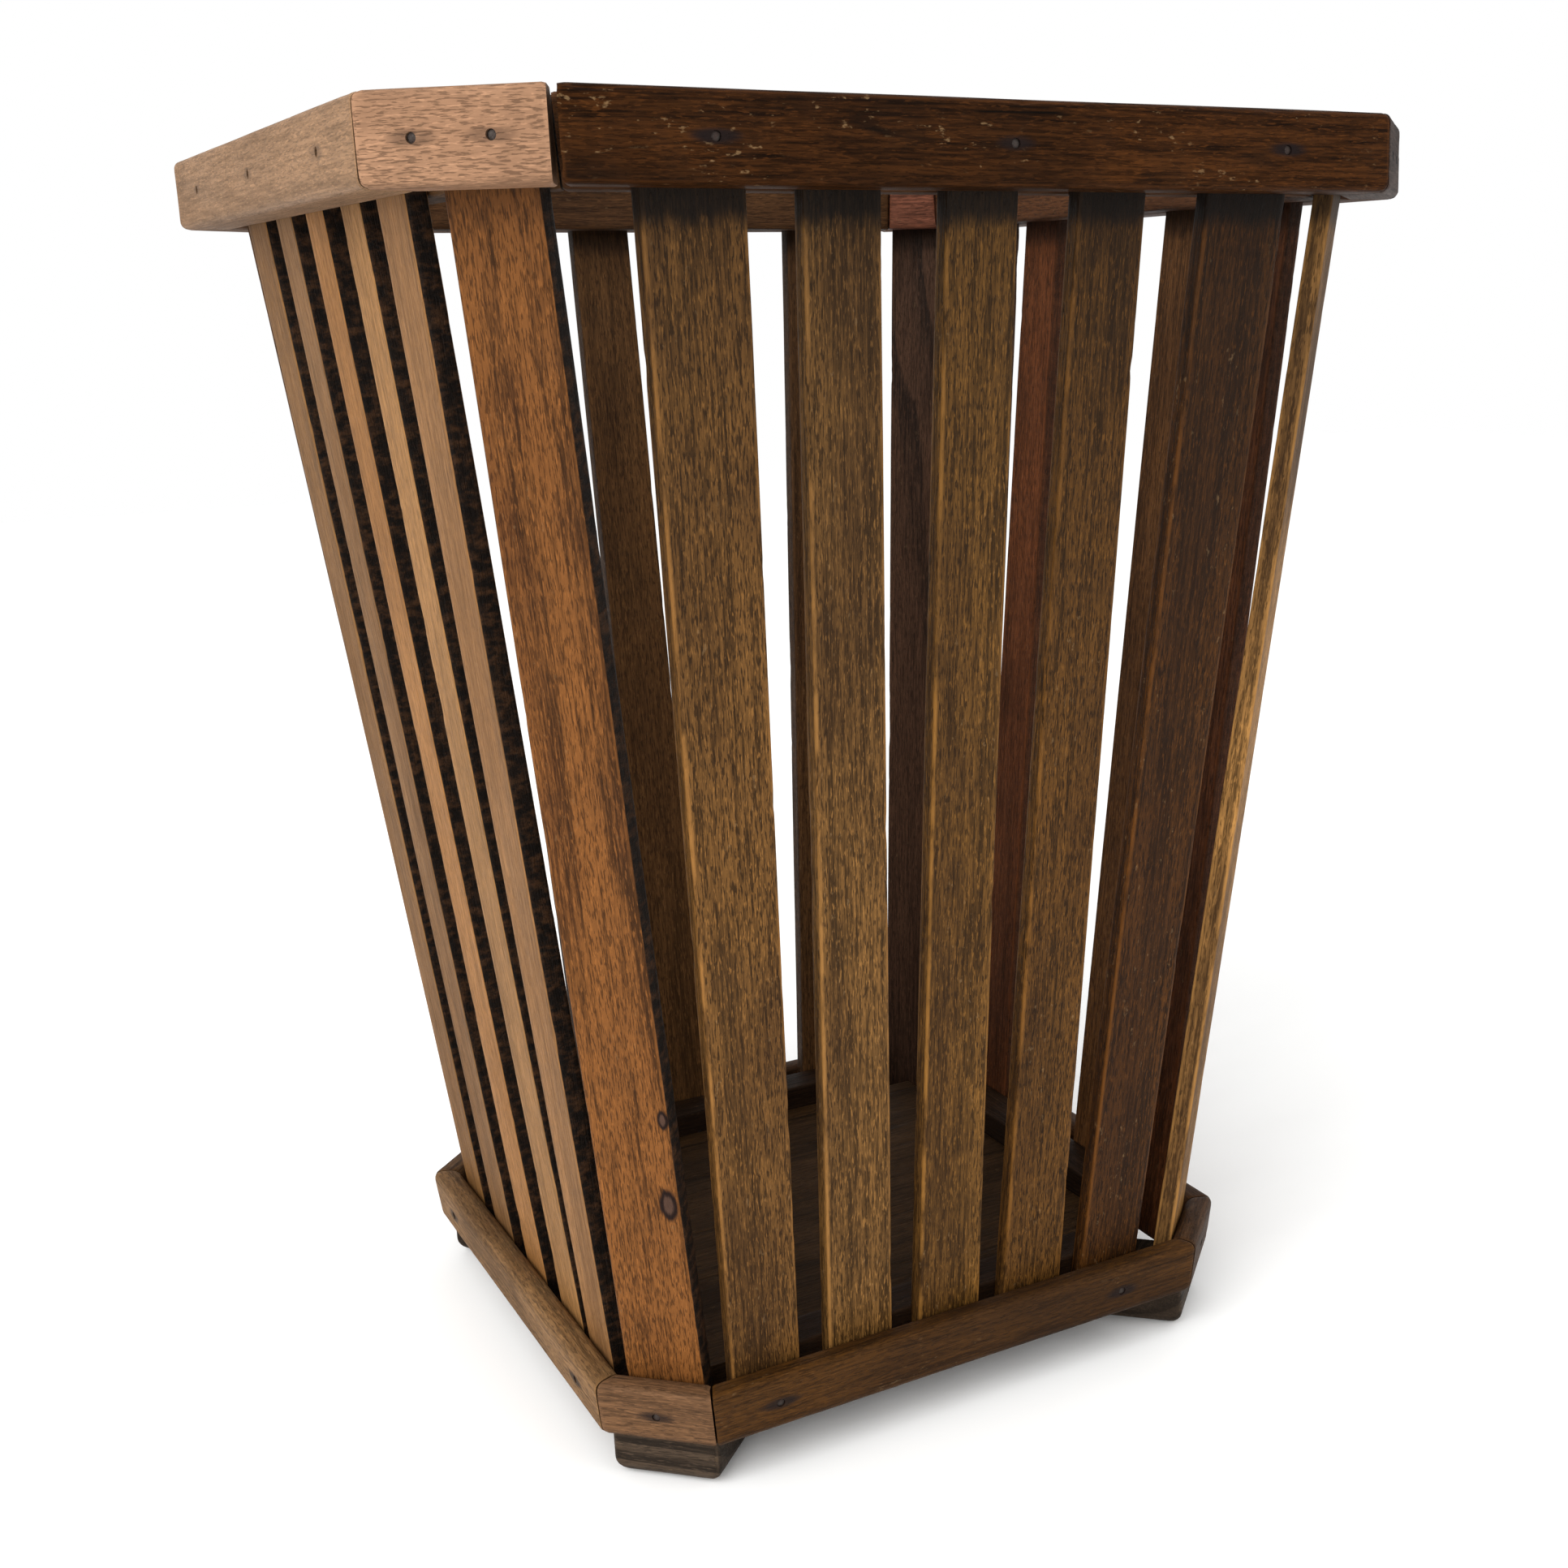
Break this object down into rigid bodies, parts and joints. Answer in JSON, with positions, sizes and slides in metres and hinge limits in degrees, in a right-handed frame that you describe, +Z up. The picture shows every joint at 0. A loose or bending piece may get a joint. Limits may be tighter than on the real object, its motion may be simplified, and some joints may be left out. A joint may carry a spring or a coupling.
{
  "type": "wastebasket",
  "caption": "Eight-sided slatted wooden wastebasket that narrows downwards, with thick mitred rim boards, a base ring and block feet.",
  "frame": {"origin": "centre of the ground under the basket, at the level of the feet's undersides", "axes": "+Z up, +X to the right along the front side, -Y out of the front side"},
  "size_m": [0.3, 0.3, 0.374],
  "materials": {
    "rim_board": "worn satin",
    "inner_rim_board": "worn satin",
    "slat": "worn satin",
    "corner_slat": "worn satin",
    "base_board": "worn satin",
    "cleat": "dull",
    "floor_board": "dull",
    "foot": "dull, dirty",
    "nail": "dull, darkened"
  },
  "bodies": {
    "root": {"base_corner_back_left": "base_board", "base_corner_back_right": "base_board", "base_corner_front_left": "base_board", "base_corner_front_right": "base_board", "base_rail_back": "base_board", "base_rail_front": "base_board", "base_rail_left": "base_board", "base_rail_right": "base_board", "brads": "nail", "cleat_back": "cleat", "cleat_front": "cleat", "cleat_left": "cleat", "cleat_right": "cleat", "floor_board": "floor_board", "foot_back_left": "foot", "foot_back_right": "foot", "foot_front_left": "foot", "foot_front_right": "foot", "foot_nails": "nail", "inner_rim_corner_back_left": "inner_rim_board", "inner_rim_corner_back_right": "inner_rim_board", "inner_rim_corner_front_left": "inner_rim_board", "inner_rim_corner_front_right": "inner_rim_board", "inner_rim_rail_back": "inner_rim_board", "inner_rim_rail_front": "inner_rim_board", "inner_rim_rail_left": "inner_rim_board", "inner_rim_rail_right": "inner_rim_board", "rim_corner_back_left": "rim_board", "rim_corner_back_right": "rim_board", "rim_corner_front_left": "rim_board", "rim_corner_front_right": "rim_board", "rim_nails": "nail", "rim_rail_back": "rim_board", "rim_rail_front": "rim_board", "rim_rail_left": "rim_board", "rim_rail_right": "rim_board", "slat_back_1": "slat", "slat_back_2": "slat", "slat_back_3": "slat", "slat_back_4": "slat", "slat_back_5": "slat", "slat_corner_back_left": "corner_slat", "slat_corner_back_right": "corner_slat", "slat_corner_front_left": "corner_slat", "slat_corner_front_right": "corner_slat", "slat_front_1": "slat", "slat_front_2": "slat", "slat_front_3": "slat", "slat_front_4": "slat", "slat_front_5": "slat", "slat_left_1": "slat", "slat_left_2": "slat", "slat_left_3": "slat", "slat_left_4": "slat", "slat_left_5": "slat", "slat_right_1": "slat", "slat_right_2": "slat", "slat_right_3": "slat", "slat_right_4": "slat", "slat_right_5": "slat"}
  },
  "joints": []
}
